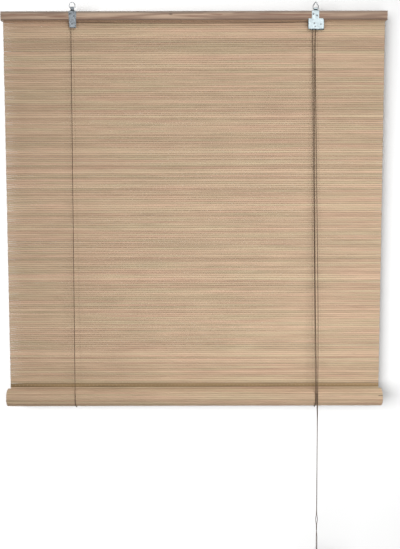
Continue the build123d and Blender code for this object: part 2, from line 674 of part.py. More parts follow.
with BuildPart() as tassel:
    with BuildSketch(Plane(origin=(TASSEL_X, TASSEL_Y, 0), x_dir=(1, 0, 0), z_dir=(0, -1, 0))):
        with BuildLine():
            Polyline(
                (TASSEL_HOLE_RADIUS, CAVITY_TOP_Z),
                (TASSEL_HOLE_RADIUS, TASSEL_TOP_Z),
                (TASSEL_HOLE_RADIUS + 1.6, TASSEL_TOP_Z),
            )
            Spline(
                (TASSEL_HOLE_RADIUS + 1.6, TASSEL_TOP_Z),
                (TASSEL_RADIUS * 0.62, TASSEL_TOP_Z - TASSEL_HEIGHT * 0.18),
                (TASSEL_RADIUS * 0.95, TASSEL_TOP_Z - TASSEL_HEIGHT * 0.62),
                (TASSEL_RADIUS, TASSEL_TOP_Z - TASSEL_HEIGHT * 0.86),
                (TASSEL_RADIUS - 1.2, TASSEL_TOP_Z - TASSEL_HEIGHT),
            )
            Polyline(
                (TASSEL_RADIUS - 1.2, TASSEL_TOP_Z - TASSEL_HEIGHT),
                (TASSEL_CAVITY_RADIUS, TASSEL_TOP_Z - TASSEL_HEIGHT),
                (TASSEL_CAVITY_RADIUS, CAVITY_TOP_Z),
                (TASSEL_HOLE_RADIUS, CAVITY_TOP_Z),
            )
        make_face()
    revolve(axis=Axis((TASSEL_X, TASSEL_Y, 0), (0, 0, 1)))
save(tassel, "tassel")

with BuildPart() as tassel_knot:
    with Locations((TASSEL_X, TASSEL_Y, CAVITY_TOP_Z - TASSEL_KNOT_RADIUS * 0.8)):
        Sphere(TASSEL_KNOT_RADIUS)
    split(bisect_by=Plane.XY.offset(CAVITY_TOP_Z), keep=Keep.BOTTOM)
save(tassel_knot, "tassel_knot")

print("roll axis", ROLL_Y, ROLL_Z, "wheel z", WHEEL_Z, "rail run z", RAIL_RUN_Z)
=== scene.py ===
"""Bamboo roll up blind: the looks of a half rolled mat, its head rail, fittings and cords."""

import math
from functools import partial

import bpy
import numpy as np
from bpy.props import FloatProperty, FloatVectorProperty, IntProperty, PointerProperty
from mathutils import Matrix, Vector


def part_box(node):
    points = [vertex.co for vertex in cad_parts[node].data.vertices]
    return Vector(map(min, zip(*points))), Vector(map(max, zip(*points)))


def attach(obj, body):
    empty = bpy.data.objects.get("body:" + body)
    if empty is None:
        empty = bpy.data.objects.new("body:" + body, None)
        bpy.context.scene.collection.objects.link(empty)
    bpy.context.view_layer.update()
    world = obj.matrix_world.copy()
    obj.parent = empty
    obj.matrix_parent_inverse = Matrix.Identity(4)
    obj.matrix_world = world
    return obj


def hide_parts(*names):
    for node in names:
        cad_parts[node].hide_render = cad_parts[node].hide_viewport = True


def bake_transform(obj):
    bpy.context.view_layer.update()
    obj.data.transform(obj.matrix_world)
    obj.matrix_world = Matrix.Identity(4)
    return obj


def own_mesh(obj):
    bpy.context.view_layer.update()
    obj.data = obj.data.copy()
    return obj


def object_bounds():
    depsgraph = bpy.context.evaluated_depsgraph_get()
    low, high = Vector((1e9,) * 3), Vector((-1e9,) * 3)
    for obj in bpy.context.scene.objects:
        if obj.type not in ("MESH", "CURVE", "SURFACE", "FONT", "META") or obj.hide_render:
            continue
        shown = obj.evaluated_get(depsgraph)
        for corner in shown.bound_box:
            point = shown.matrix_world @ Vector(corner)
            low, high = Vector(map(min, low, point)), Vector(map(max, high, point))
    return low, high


bl_info = {
    "name": "Bamboo Roll Up Blind",
    "version": (1, 0, 0),
    "blender": (4, 5, 0),
    "location": "View3D > Sidebar > Blind",
    "description": "Builds a half rolled bamboo blind around its packed frame",
    "category": "Object",
}

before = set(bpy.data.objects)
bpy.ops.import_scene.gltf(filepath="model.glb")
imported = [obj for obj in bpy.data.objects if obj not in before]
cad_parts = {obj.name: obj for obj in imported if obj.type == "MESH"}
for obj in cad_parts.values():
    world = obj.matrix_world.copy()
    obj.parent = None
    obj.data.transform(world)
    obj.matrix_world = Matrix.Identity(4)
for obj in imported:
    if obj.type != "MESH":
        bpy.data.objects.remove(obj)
CAD_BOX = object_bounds()
MM = 0.001


def low(node):
    """Lowest corner of a node's box, as three numbers in metres."""
    return [float(value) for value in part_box(node)[0]]


def high(node):
    """Highest corner of a node's box, as three numbers in metres."""
    return [float(value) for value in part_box(node)[1]]


PANEL_TOP, PANEL_END = high("hanging_panel")[2], low("hanging_panel")[2]
PANEL_FRONT, PANEL_BACK = low("hanging_panel")[1], high("hanging_panel")[1]
HALF_WIDTH = high("hanging_panel")[0]
ROLL_RADIUS = 19.5 * MM
ROLL_Z = low("mat_roll")[2] + ROLL_RADIUS
ROLL_Y = PANEL_BACK - ROLL_RADIUS
ROLL_TURNS = 6.6
LOOSE_GAPS = 3.2  # how many times wider the gaps are on the roll than in the hanging mat
LATH_TOP, LATH_END = ROLL_Z + 25.6 * MM, ROLL_Z + 17.5 * MM
LEAN_FADE = 60 * MM  # the mat's ends, over which the slats' common sway grows from nothing
SPLIT_Z, SPLIT_X = ROLL_Z + 5.8 * MM, HALF_WIDTH - 12.5 * MM  # where one slat on the roll is split; the split's shade is painted as a dark line
SIDEWAYS = (1.0, 0.0, 0.0)
ACROSS_WALL = (0.0, 1.0, 0.0)

CAMERA_PLACE = (0.0113, -1.600, -0.4406)
CAMERA_LENS, CAMERA_TILT, CAMERA_ROLL = 49.72, 4.329, -0.124  # lens in mm, angles in degrees
WALL_SIDE, WALL_TOP, FLOOR_SIDE = 6.0, 5.0, 8.0  # half widths, and the height of the wall's top
MIDDLE = (0.0, 0.0, (CAD_BOX[0][2] + CAD_BOX[1][2]) / 2)
# each soft light's name, place, target and width
LIGHTS = (
    ("left", (-0.52, -1.56, -0.36), MIDDLE, 0.16),
    ("top", (0.3, -1.9, 0.22), (0.1, 0.0, -0.4), 0.25),
    ("right", (0.46, -1.2, -0.68), (0.46, 0.0, -0.68), 0.8),
    ("wall", (-1.6, -3.0, -0.7), MIDDLE, 3.0),
    ("roll", (0.60, -0.9, 0.1), (0.25, 0.0, ROLL_Z), 0.3),
)


# ---------------------------------------------------------------- settings

Colour = partial(FloatVectorProperty, size=3, min=0, max=1, subtype="COLOR")
Length = partial(FloatProperty, unit="LENGTH")
Power = partial(FloatProperty, min=0, unit="POWER")


class BlindMatSettings(bpy.types.PropertyGroup):
    """Sizes and colours of the woven mat."""

    slat_width: Length(
        name="Slat Width", description="Mean width of a slat and the gap beside it",
        default=4.3 * MM, min=0.002, max=0.02)
    layer_pitch: Length(
        name="Layer Pitch", description="Distance between two turns of the roll",
        default=1.5 * MM, min=0.001, max=0.005)
    thread_spacing: Length(
        name="Thread Spacing", description="Distance between two warp threads",
        default=4.2 * MM, min=0.003, max=0.1)
    thread_radius: Length(
        name="Thread Radius", description="Half the thickness of a warp thread",
        default=0.26 * MM, min=0.0001, max=0.002)
    pale: Colour(
        name="Pale Slat", description="Colour of the palest slats", default=(0.57, 0.423, 0.299))
    deep: Colour(
        name="Deep Slat", description="Colour of the darkest slats", default=(0.38, 0.270, 0.185))
    # painted shade: the lath's dark colour stands for the shade in the nip between the hanging mat and the
    # roll
    lath: Colour(
        name="Lath", description="Colour of the flat lath above the roll", default=(0.258, 0.174, 0.086))
    thread: Colour(
        name="Thread", description="Colour of the warp threads", default=(0.56, 0.42, 0.29))
    seed: IntProperty(
        name="Seed", description="Picks another run of uneven slats", default=11, min=0)


class BlindWoodSettings(bpy.types.PropertyGroup):
    """Colours of the rail, batten and tassel."""

    rail_pale: Colour(
        name="Rail Early Wood", description="Paler wood of the rail", default=(0.52, 0.375, 0.272))
    rail_deep: Colour(
        name="Rail Late Wood", description="Darker grain of the rail", default=(0.295, 0.194, 0.138))
    tassel_pale: Colour(
        name="Tassel Wood", description="Paler wood of the tassel", default=(0.36, 0.20, 0.10))
    tassel_deep: Colour(
        name="Tassel Grain", description="Darker grain of the tassel", default=(0.19, 0.095, 0.045))


class BlindMetalSettings(bpy.types.PropertyGroup):
    """Colours of the steel, zinc and brass fittings."""

    bright: Colour(
        name="Bright Zinc", description="Plating of the cord lock", default=(0.44, 0.505, 0.525))
    dull: Colour(
        name="Dull Zinc", description="Plating of the left hanger", default=(0.315, 0.345, 0.372))
    fixing: Colour(
        name="Fixings", description="Screws, pins and rivets", default=(0.20, 0.21, 0.22))
    wire: Colour(
        name="Wire", description="Rings and staples", default=(0.28, 0.29, 0.30))
    brass: Colour(
        name="Brass", description="Pulley wheels", default=(0.62, 0.45, 0.20))


class BlindCordSettings(bpy.types.PropertyGroup):
    """Size and colour of the cords."""

    diameter: Length(
        name="Diameter", description="Thickness of the twisted cord",
        default=1.4 * MM, min=0.0005, max=0.005)
    lay_length: Length(
        name="Lay Length", description="Length of one full turn of the cord's strands",
        default=5.0 * MM, min=0.001, max=0.05)
    colour: Colour(
        name="Cord", description="Colour of the cord", default=(0.066, 0.039, 0.023))
    fibre: Colour(
        name="Fibre", description="Colour of the cord's paler fibres", default=(0.135, 0.084, 0.053))


class BlindStageSettings(bpy.types.PropertyGroup):
    """Wall, floor and lights."""

    wall_gap: Length(
        name="Wall Gap", description="Distance from the mat's back to the wall",
        default=24 * MM, min=0.006, max=0.5)
    floor_gap: Length(
        name="Floor Gap", description="Distance from the tassel's lowest place to the floor",
        default=0.40, min=0.0, max=3.0)
    left_power: Power(
        name="Left Power", description="Power of the small light at the left",
        default=6.0)
    right_power: Power(
        name="Right Power", description="Power of the wide light at the right",
        default=12.6)
    top_power: Power(
        name="Top Power", description="Power of the light above the camera",
        default=11.6)
    roll_power: Power(
        name="Roll Power", description="Power of the light that falls only on the roll",
        default=1.2)
    room: FloatProperty(
        name="Room Light", description="Strength of the light from the front half of the room",
        default=0.19, min=0)
    back: FloatProperty(
        name="Back Light", description="Strength of the light from behind the mat",
        default=0.95, min=0)
    wall_power: Power(
        name="Wall Power", description="Power of the light that falls only on the wall",
        default=405.0)


SETTINGS = {
    "blind_mat": BlindMatSettings,
    "blind_wood": BlindWoodSettings,
    "blind_metal": BlindMetalSettings,
    "blind_cord": BlindCordSettings,
    "blind_stage": BlindStageSettings,
}


# ---------------------------------------------------------------- node trees


class Nodes:
    """Short calls that add and join the nodes of one tree."""

    def __init__(self, tree, place):
        self.tree = tree
        self.place = self.node("TexCoord").outputs[place]

    def node(self, kind, **choices):
        """A new node. A choice with a capital is one of its sockets, and any other is a setting,
        such as its operation."""
        node = self.tree.nodes.new("ShaderNode" + kind)
        for label, value in choices.items():
            if label[0].isupper():
                self.put(node.inputs[label.replace("_", " ")], value)
            else:
                setattr(node, label, value)
        return node

    def put(self, socket, value):
        """Sets a socket to a constant, or joins it to another node's output."""
        if isinstance(value, bpy.types.NodeSocket):
            self.tree.links.new(value, socket)
        elif isinstance(value, (tuple, list)) and len(value) == 3 and socket.type == "RGBA":
            socket.default_value = (*value, 1.0)
        else:
            socket.default_value = value

    def sum(self, operation, first, second=0.0, third=None):
        """One Math node."""
        node = self.node("Math", operation=operation)
        for socket, value in zip(node.inputs, (first, second, third)):
            if value is not None:
                self.put(socket, value)
        return node.outputs[0]

    def weighed(self, *parts):
        """The sum of some values, each times its own share."""
        total = self.sum("MULTIPLY", *parts[0])
        for value, share in parts[1:]:
            total = self.sum("MULTIPLY_ADD", value, share, total)
        return total

    def span(self, value, low_in, high_in, low_out=0.0, high_out=1.0):
        """Rescales a value from one range to another and keeps it inside."""
        node = self.node("MapRange")
        for socket, number in zip(node.inputs, (value, low_in, high_in, low_out, high_out)):
            self.put(socket, number)
        return node.outputs[0]

    def axis(self, name, of=None):
        """One of a vector's three numbers."""
        return self.node("SeparateXYZ", Vector=of or self.place).outputs[name]

    def off(self, axis, place):
        """How far a point lies from a place along one axis."""
        return self.sum("ABSOLUTE", self.sum("SUBTRACT", self.axis(axis), place))


class Finish(Nodes):
    """A material, with the calls that its look is made from."""

    def __init__(self, name, roughness, metallic=0.0, **constants):
        self.material = bpy.data.materials.new(name)
        self.material.use_nodes = True
        self.material.node_tree.nodes.clear()
        super().__init__(self.material.node_tree, "Object")
        self.surface = self.node("BsdfPrincipled", Roughness=roughness, Metallic=metallic, **constants)
        self.end = self.node("OutputMaterial", Surface=self.surface.outputs[0])

    def noise(self, scale, detail=3.0, rough=0.55, place=None, warp=0.0):
        """Noise over a stretched place, from 0 to 1."""
        return self.node("TexNoise", Vector=self.stretched(scale, place), Scale=1.0, Detail=detail,
                         Roughness=rough, Distortion=warp).outputs["Fac"]

    def cells(self, scale, output="Distance"):
        """Voronoi cells over a stretched place."""
        return self.node("TexVoronoi", Vector=self.stretched(scale), Scale=1.0).outputs[output]

    def stretched(self, scale, place=None):
        """A place in the object, scaled by three numbers."""
        return self.node("Mapping", Vector=place or self.place, Scale=scale).outputs[0]

    def own(self, name):
        """A number stored on the piece's own points."""
        return self.node("Attribute", attribute_name=name).outputs["Fac"]

    def blend(self, share, first, second, mode="MIX"):
        """Mixes two colours by a share."""
        node = self.node("Mix", data_type="RGBA", blend_type=mode, Factor=share)
        self.put(node.inputs[6], first)
        self.put(node.inputs[7], second)
        return node.outputs[2]

    def ramp(self, value, stops):
        """Colours along a value: pairs of place and colour."""
        node = self.node("ValToRGB", Fac=value)
        points = node.color_ramp.elements
        points[0].position, points[0].color = stops[0][0], (*stops[0][1], 1.0)
        points[1].position, points[1].color = stops[-1][0], (*stops[-1][1], 1.0)
        for position, colour in stops[1:-1]:
            points.new(position).color = (*colour, 1.0)
        return node.outputs[0]

    def joined(self, x, y, z=0.0):
        """Three numbers joined into one place."""
        node = self.node("CombineXYZ")
        for socket, value in zip(node.inputs, (x, y, z)):
            self.put(socket, value)
        return node.outputs[0]

    def relief(self, height, depth):
        """Raises the surface by a height from 0 to 1 times depth, in metres."""
        self.set("Normal", self.node("Bump", Distance=depth, Height=height).outputs[0])

    def set(self, socket, value):
        """Sets or joins one socket of the surface shader."""
        self.put(self.surface.inputs[socket], value)


def tint(colour, factor):
    """A colour made lighter or darker."""
    return tuple(min(1.0, channel * factor) for channel in colour)


def halfway(first, second):
    """The colour between two colours."""
    return tuple((a + b) / 2 for a, b in zip(first, second))


def bamboo_finish(mat):
    """Split bamboo. Every slat has its own tone and hue, which also drift along it; over that lie
    long fibres, broad patches, the dark rings of the stem's joints, and small dark specks. A short
    dark line near the right end of one slat on the roll is painted shade of a split. The lath's
    dark colour is painted shade of the nip between the hanging mat and the roll."""
    f = Finish("split_bamboo", 0.62, Specular_IOR_Level=0.35)
    slat, lath, x = f.own("slat_tone"), f.own("lath"), f.axis("X")
    along = f.noise((10.0, 1.0, 1.0), 3.0, 0.6, f.joined(x, f.sum("MULTIPLY", slat, 61.0)))
    fibre = f.noise((14.0, 480.0, 480.0), 4.0, 0.6)
    patch = f.noise((3.2, 7.0, 7.0), 2.0, 0.5)
    mix = f.weighed((along, 0.28), (slat, 0.20), (fibre, 0.38), (patch, 0.12))
    pale, deep, dark = mat.pale, mat.deep, mat.lath
    colour = f.ramp(f.span(mix, 0.22, 0.76), [
        (0.0, tint(deep, 0.90)), (0.25, deep), (0.52, halfway(pale, deep)), (0.78, pale),
        (1.0, tint(pale, 1.10))])
    hue = f.noise((4.0, 1.0, 1.0), 2.0, 0.5, f.joined(x, f.sum("MULTIPLY", slat, 37.0), 5.0))
    rosy = f.blend(1.0, colour, (1.04, 0.955, 0.93), "MULTIPLY")
    green = f.blend(1.0, colour, (0.965, 1.01, 0.93), "MULTIPLY")
    hued = f.blend(f.span(hue, 0.36, 0.64), green, rosy)
    ring = f.cells((3.3, 260.0, 260.0))
    ringed = f.blend(f.span(ring, 0.0, 0.05, 0.40, 0.0), hued, tint(deep, 0.66))
    speck = f.span(f.noise((60.0, 700.0, 700.0), 2.0, 0.5), 0.68, 0.78, 0.0, 0.45)
    specked = f.blend(speck, ringed, tint(deep, 0.62))
    # painted shade: the lath's dark colour darkens the nip between the hanging mat and the roll
    lath_painted_shade = f.ramp(f.noise((9.0, 420.0, 420.0), 4.0), [
        (0.25, tint(dark, 0.68)), (0.75, tint(dark, 1.30))])
    # painted shade: a dark line in the split near the right end of one slat on the roll
    split = f.sum("MULTIPLY", f.span(f.off("Z", SPLIT_Z), 0.35 * MM, 0.8 * MM, 0.9, 0.0),
                  f.span(x, SPLIT_X, SPLIT_X + 1.5 * MM))
    split_shaded = f.blend(split, specked, tint(deep, 0.22))
    f.set("Base Color", f.blend(lath, split_shaded, lath_painted_shade))
    f.set("Roughness", f.span(fibre, 0.2, 0.8, 0.52, 0.74))
    f.relief(f.weighed((along, 0.3), (fibre, 0.7)), 0.22 * MM)
    return f.material


def thread_finish(mat):
    """Spun cotton: fine fibres and uneven colour."""
    f = Finish("warp_cotton", 0.9, Sheen_Weight=0.2, Sheen_Roughness=0.5)
    fuzz = f.noise((2600.0, 2600.0, 1700.0), 3.0)
    dirt_and_painted_shade = f.noise((9.0, 9.0, 14.0), 2.0)
    base = mat.thread
    shade = f.weighed((dirt_and_painted_shade, 0.4), (fuzz, 0.6))
    f.set("Base Color", f.ramp(shade, [(0.25, tint(base, 0.66)), (0.75, tint(base, 1.12))]))
    f.relief(fuzz, 0.08 * MM)
    return f.material


def timber_finish(name, pale, deep, scale, roughness=0.6, wear_and_painted_light=None):
    """Sawn timber with its grain along one axis: scale is small on that axis and large across.
    The last argument is a function that adds a piece's own marks, and painted light and shade, to the
    plain wood."""
    f = Finish(name, roughness, Specular_IOR_Level=0.35)
    def grain(share, *rest, **more):
        return f.noise(tuple(s * share for s in scale), *rest, **more)
    rings = f.span(f.sum("SINE", f.weighed((grain(0.5, 2.0), 10.0), (grain(0.12, 2.0), 38.0))), -1.0, 1.0)
    pores, stain = grain(5.0, 4.0, 0.6), grain(0.35, 3.0)
    mix = f.weighed((pores, 0.36), (rings, 0.32), (stain, 0.42))
    wood = f.ramp(f.span(mix, 0.30, 0.80), [
        (0.0, tint(deep, 0.80)), (0.30, deep), (0.62, halfway(pale, deep)), (1.0, pale)])
    streak = f.span(grain(1.6, 2.0, 0.5, warp=0.4), 0.54, 0.64, 0.0, 0.85)
    wood = f.blend(streak, wood, (deep[0] * 0.80, deep[1] * 0.66, deep[2] * 0.62))
    f.set("Base Color", wear_and_painted_light(f, wood, stain, pale, deep) if wear_and_painted_light else wood)
    f.set("Roughness", f.span(pores, 0.2, 0.8, roughness - 0.08, roughness + 0.12))
    f.relief(f.weighed((rings, 0.3), (pores, 0.7)), 0.18 * MM)
    return f.material


def rail_marks_and_painted_light(f, wood, stain, pale, deep):
    """The head rail's marks and painted light: a small knot, painted shade on the upper arris, a darker
    right part, painted shade along the lower arris, and the back half of the underside painted pale
    as painted light."""
    (_, face, end), (_, _, top) = low("head_rail"), high("head_rail")
    aside = f.sum("DIVIDE", f.off("X", -48 * MM), 4.5 * MM)
    above = f.sum("DIVIDE", f.off("Z", top * 0.65 + end * 0.35), 2.5 * MM)
    off = f.sum("SQRT", f.sum("ADD", f.sum("MULTIPLY", aside, aside), f.sum("MULTIPLY", above, above)))
    wood = f.blend(f.span(off, 0.35, 1.15, 0.85, 0.0), wood, tint(deep, 0.42))
    height = f.axis("Z")
    # painted shade on the upper arris, made uneven by the stain
    upper_arris_shade = f.sum("MULTIPLY", f.span(height, top - 6.0 * MM, top - 2.5 * MM),
                 f.span(stain, 0.2, 0.6, 0.45, 0.75))
    wood = f.blend(upper_arris_shade, wood, (0.20, 0.172, 0.145))
    wood = f.blend(f.span(f.axis("X"), 0.1, 0.28, 0.0, 0.30), wood, tint(deep, 0.7))
    # painted shade: the lower arris darkest, and the front just above it a little darker
    wood = f.blend(f.span(height, end + 1.7 * MM, end + 3.0 * MM, 0.62, 0.0), wood, tint(deep, 0.30))
    wood = f.blend(f.span(height, end + 3.0 * MM, end + 7.5 * MM, 0.30, 0.0), wood, tint(deep, 0.75))
    # painted light: the back half of the underside, behind the front face, made pale
    under = f.sum("MULTIPLY", f.span(f.axis("Y"), face + 1.5 * MM, face + 4.0 * MM),
                  f.span(height, end + 0.3 * MM, end + 0.8 * MM, 0.9, 0.0))
    return f.blend(under, wood, tint(pale, 1.1))


def zinc_finish(name, colour, roughness, contrast, fold, sides=None, end=0.0, scale=420.0):
    """Zinc plated sheet: crystals of slightly different brightness, rolled streaks and dull spots.
    Painted shade darkens the fold at height fold and, between two sides, the bent edges down to
    height end."""
    f = Finish(name, roughness, 1.0)
    grey = f.axis("X", f.cells((scale, scale, scale), "Color"))
    streak = f.noise((300.0, 300.0, 5200.0), 3.0)
    stain = f.noise((130.0, 130.0, 130.0), 3.0)
    plate = f.ramp(f.weighed((stain, 0.5), (grey, 0.5)), [
        (0.15, tint(colour, 1.0 - contrast)), (0.55, colour), (0.9, tint(colour, 1.0 + contrast * 0.25))])
    # painted shade in the fold where the sheet bends over the rail's top
    dirt_and_painted_shade = f.span(f.off("Z", fold), 0.8 * MM, 1.5 * MM, 0.95, 0.0)
    if sides:
        reach = (sides[1] - sides[0]) / 2
        # painted shade along the bent side edges and, below, the bottom edge
        edge = f.span(f.off("X", sum(sides) / 2), reach - 1.3 * MM, reach - 0.5 * MM, 0.0, 0.90)
        dirt_and_painted_shade = f.sum("MAXIMUM", dirt_and_painted_shade, edge)
        dirt_and_painted_shade = f.sum("MAXIMUM", dirt_and_painted_shade, f.span(f.axis("Z"), end + 0.6 * MM, end + 1.5 * MM, 0.90, 0.0))
    f.set("Base Color", f.blend(dirt_and_painted_shade, plate, tint(colour, 0.10)))
    f.set("Roughness", f.span(stain, 0.25, 0.75, roughness - 0.08, roughness + 0.14))
    f.relief(f.weighed((grey, 0.5), (streak, 0.5)), 0.03 * MM)
    return f.material


def worn_metal_finish(name, colour, roughness):
    """Small turned or drawn metal pieces: fine turning marks and darker patches."""
    f = Finish(name, roughness, 1.0)
    marks = f.noise((900.0, 4200.0, 900.0), 3.0)
    patch = f.noise((420.0, 420.0, 420.0), 3.0)
    mix = f.weighed((marks, 0.3), (patch, 0.7))
    f.set("Base Color", f.ramp(mix, [(0.25, tint(colour, 0.65)), (0.7, tint(colour, 1.15))]))
    f.set("Roughness", f.span(patch, 0.25, 0.75, roughness - 0.05, roughness + 0.2))
    f.relief(marks, 0.02 * MM)
    return f.material


def cord_finish(cord):
    """Twisted cord: each yarn's fibres run along its strand, paler where they are rubbed."""
    f = Finish("twisted_cord", 0.88, Specular_IOR_Level=0.3)
    strand, turn = f.own("strand"), f.own("twist")
    fuzz = f.noise((3000.0, 3000.0, 2200.0), 3.0)
    yarn = f.span(f.sum("SINE", f.sum("MULTIPLY", turn, 12.0)), -1.0, 1.0)
    shade = f.weighed((fuzz, 0.3), (strand, 0.5), (yarn, 0.2))
    base, fibre = cord.colour, cord.fibre
    f.set("Base Color", f.ramp(shade, [(0.1, tint(base, 0.45)), (0.5, base), (0.95, fibre)]))
    f.relief(f.weighed((fuzz, 0.5), (yarn, 0.5)), 0.10 * MM)
    return f.material


# ---------------------------------------------------------------- meshes


def placed(name, data):
    """A new object in the scene."""
    thing = bpy.data.objects.new(name, data)
    bpy.context.scene.collection.objects.link(thing)
    return thing


def mesh_piece(name, points, quads, material, caps=(), **own):
    """A new object from arrays: points (n, 3), quads (m, 4), caps as rows of point numbers, and
    named numbers stored on the points."""
    faces = [quads] + [np.asarray(cap) for cap in caps]
    corners = np.concatenate([block.ravel() for block in faces])
    sizes = np.concatenate([np.full(len(block), block.shape[1]) for block in faces])
    mesh = bpy.data.meshes.new(name)
    mesh.vertices.add(len(points))
    mesh.vertices.foreach_set("co", points.astype(np.float32).ravel())
    mesh.loops.add(len(corners))
    mesh.loops.foreach_set("vertex_index", corners.astype(np.int32))
    mesh.polygons.add(len(sizes))
    mesh.polygons.foreach_set("loop_start", np.concatenate([[0], np.cumsum(sizes)[:-1]]).astype(np.int32))
    mesh.polygons.foreach_set("use_smooth", np.ones(len(sizes), bool))
    for label, values in own.items():
        stored = mesh.attributes.new(label, "FLOAT", "POINT")
        stored.data.foreach_set("value", values.astype(np.float32).ravel())
    mesh.update(calc_edges=True)
    if mesh.validate():
        raise RuntimeError(f"{name} has faces that cannot be used")
    mesh.materials.append(material)
    return placed(name, mesh)


def tube_faces(bars, stations, ring):
    """Quads of many tubes laid out as (bar, station, ring), and one cap for each end of each."""
    bar, station, side = np.meshgrid(
        np.arange(bars), np.arange(stations - 1), np.arange(ring), indexing="ij")
    start = bar * stations * ring
    here = start + station * ring + side
    beside = start + station * ring + (side + 1) % ring
    quads = np.stack([here, beside, beside + ring, here + ring], -1).reshape(-1, 4)
    starts = (np.arange(bars) * stations * ring)[:, None]
    first = starts + np.arange(ring)[::-1]
    last = starts + (stations - 1) * ring + np.arange(ring)
    return quads, (first, last)


def outward(piece):
    """Turns the faces of a closed piece outwards."""
    mesh = piece.data
    mesh.calc_loop_triangles()
    corners = np.empty(len(mesh.loop_triangles) * 3, np.int32)
    mesh.loop_triangles.foreach_get("vertices", corners)
    places = np.empty(len(mesh.vertices) * 3, np.float32)
    mesh.vertices.foreach_get("co", places)
    a, b, c = places.reshape(-1, 3).astype(float)[corners.reshape(-1, 3)].transpose(1, 0, 2)
    if np.einsum("ij,ij->i", a, np.cross(b, c)).sum() < 0:
        mesh.flip_normals()
    return piece


def unit(rows):
    """The rows of an array, each made 1 long."""
    return rows / np.linalg.norm(rows, axis=-1, keepdims=True)


def ring_points(centre, across, up, side, rise):
    """Rings of points: centre + side times across + rise times up. side and rise have a number for
    each point of a ring; centre and the unit vectors across and up have one row for each ring."""
    return (centre[..., None, :] + side[..., None] * across[..., None, :]
            + rise[..., None] * up[..., None, :])


def bar_section(ring, squareness):
    """A superellipse with half sizes of 1: the cosine and sine of evenly spread angles, each to
    the power 2 / squareness, which is 2 for an ellipse and larger for a bar."""
    angle = (np.arange(ring) + 0.5) / ring * 2 * np.pi
    section = np.stack([np.cos(angle), np.sin(angle)])
    section = np.sign(section) * np.abs(section) ** (2 / squareness)
    return section / np.abs(section).max()


# ---------------------------------------------------------------- cords


def route_line(name, points):
    """The smooth line that a cord lies on: a NURBS spline with the route's points as its control
    points, read back as an array of places."""
    curve = bpy.data.curves.new(name + "_line", "CURVE")
    curve.dimensions = "3D"
    curve.resolution_u = 24
    spline = curve.splines.new("NURBS")
    spline.points.add(len(points) - 1)
    spline.points.foreach_set("co", np.column_stack([np.array(points), np.ones(len(points))]).ravel())
    spline.order_u = 3
    spline.use_endpoint_u = True
    carrier = placed(name + "_line", curve)
    bpy.context.view_layer.update()
    mesh = bpy.data.meshes.new_from_object(carrier)
    places = np.empty(len(mesh.vertices) * 3, np.float32)
    mesh.vertices.foreach_get("co", places)
    bpy.data.objects.remove(carrier)
    bpy.data.curves.remove(curve)
    bpy.data.meshes.remove(mesh)
    return places.reshape(-1, 3).astype(float)


def twisted_cord(name, points, side, settings, material):
    """A three strand cord on a route. Round the line, the radius is R (0.80 + 0.20 |cos 1.5 a|),
    where a is the angle from the strands' own direction, which turns once in a lay length. side is
    a direction that the line never points along."""
    line = route_line(name, points)
    steps = np.linalg.norm(np.diff(line, axis=0), axis=1)
    length_at = np.concatenate([[0], np.cumsum(steps)])
    keep = np.concatenate([[True], steps > 1e-7])
    line, length_at = line[keep], length_at[keep]
    total = length_at[-1]
    stations = max(24, int(total / settings.lay_length * 8))
    run = np.linspace(0, total, stations)
    centre = np.stack([np.interp(run, length_at, line[:, k]) for k in range(3)], -1)
    tangent = unit(np.gradient(centre, axis=0))
    across = unit(np.array(side) - (tangent @ np.array(side))[:, None] * tangent)
    ring = 12
    angle = np.arange(ring) / ring * 2 * np.pi
    turn = angle - run[:, None] / settings.lay_length * 2 * np.pi
    lobe = np.abs(np.cos(1.5 * turn))
    radius = settings.diameter / 2 * (0.80 + 0.20 * lobe)
    places = ring_points(centre, across, np.cross(tangent, across),
                         radius * np.cos(angle), radius * np.sin(angle))
    quads, caps = tube_faces(1, stations, ring)
    piece = mesh_piece(name, places.reshape(-1, 3), quads, material, caps,
                       strand=lobe, twist=turn + angle * 2)
    return outward(piece), line, total


def knot_piece(name, node, body, centre, size, material):
    """A small tight knot in a CAD node's place, riding on a body: a tube on a trefoil,
    x = sin t + 2 sin 2t, y = cos t - 2 cos 2t, z = -1.4 sin 3t, scaled to the size of the knot."""
    stations, ring = 96, 10
    t = np.linspace(0, 2 * np.pi, stations, endpoint=False)
    line = np.stack([np.sin(t) + 2 * np.sin(2 * t), np.cos(t) - 2 * np.cos(2 * t),
                     -1.4 * np.sin(3 * t)], -1) * size * 0.22
    tangent = unit(np.roll(line, -1, 0) - np.roll(line, 1, 0))
    across = unit(np.cross(tangent, [0.0, 0.0, 1.0]))
    angle = np.arange(ring) / ring * 2 * np.pi
    radius = size * 0.34
    places = ring_points(line + np.array(centre), across, np.cross(tangent, across),
                         radius * np.cos(angle), radius * np.sin(angle))
    quads = tube_faces(1, stations + 1, ring)[0] % (stations * ring)
    knot = outward(mesh_piece(name, places.reshape(-1, 3), quads, material,
                              strand=np.abs(np.cos(3 * angle + 8 * t[:, None])),
                              twist=3 * angle + 40 * t[:, None]))
    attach(knot, body)
    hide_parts(node)


def taut(piece):
    """A stretched run, mat or cord, hung from the head's body with a mesh of its own."""
    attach(piece, "head")
    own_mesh(piece)


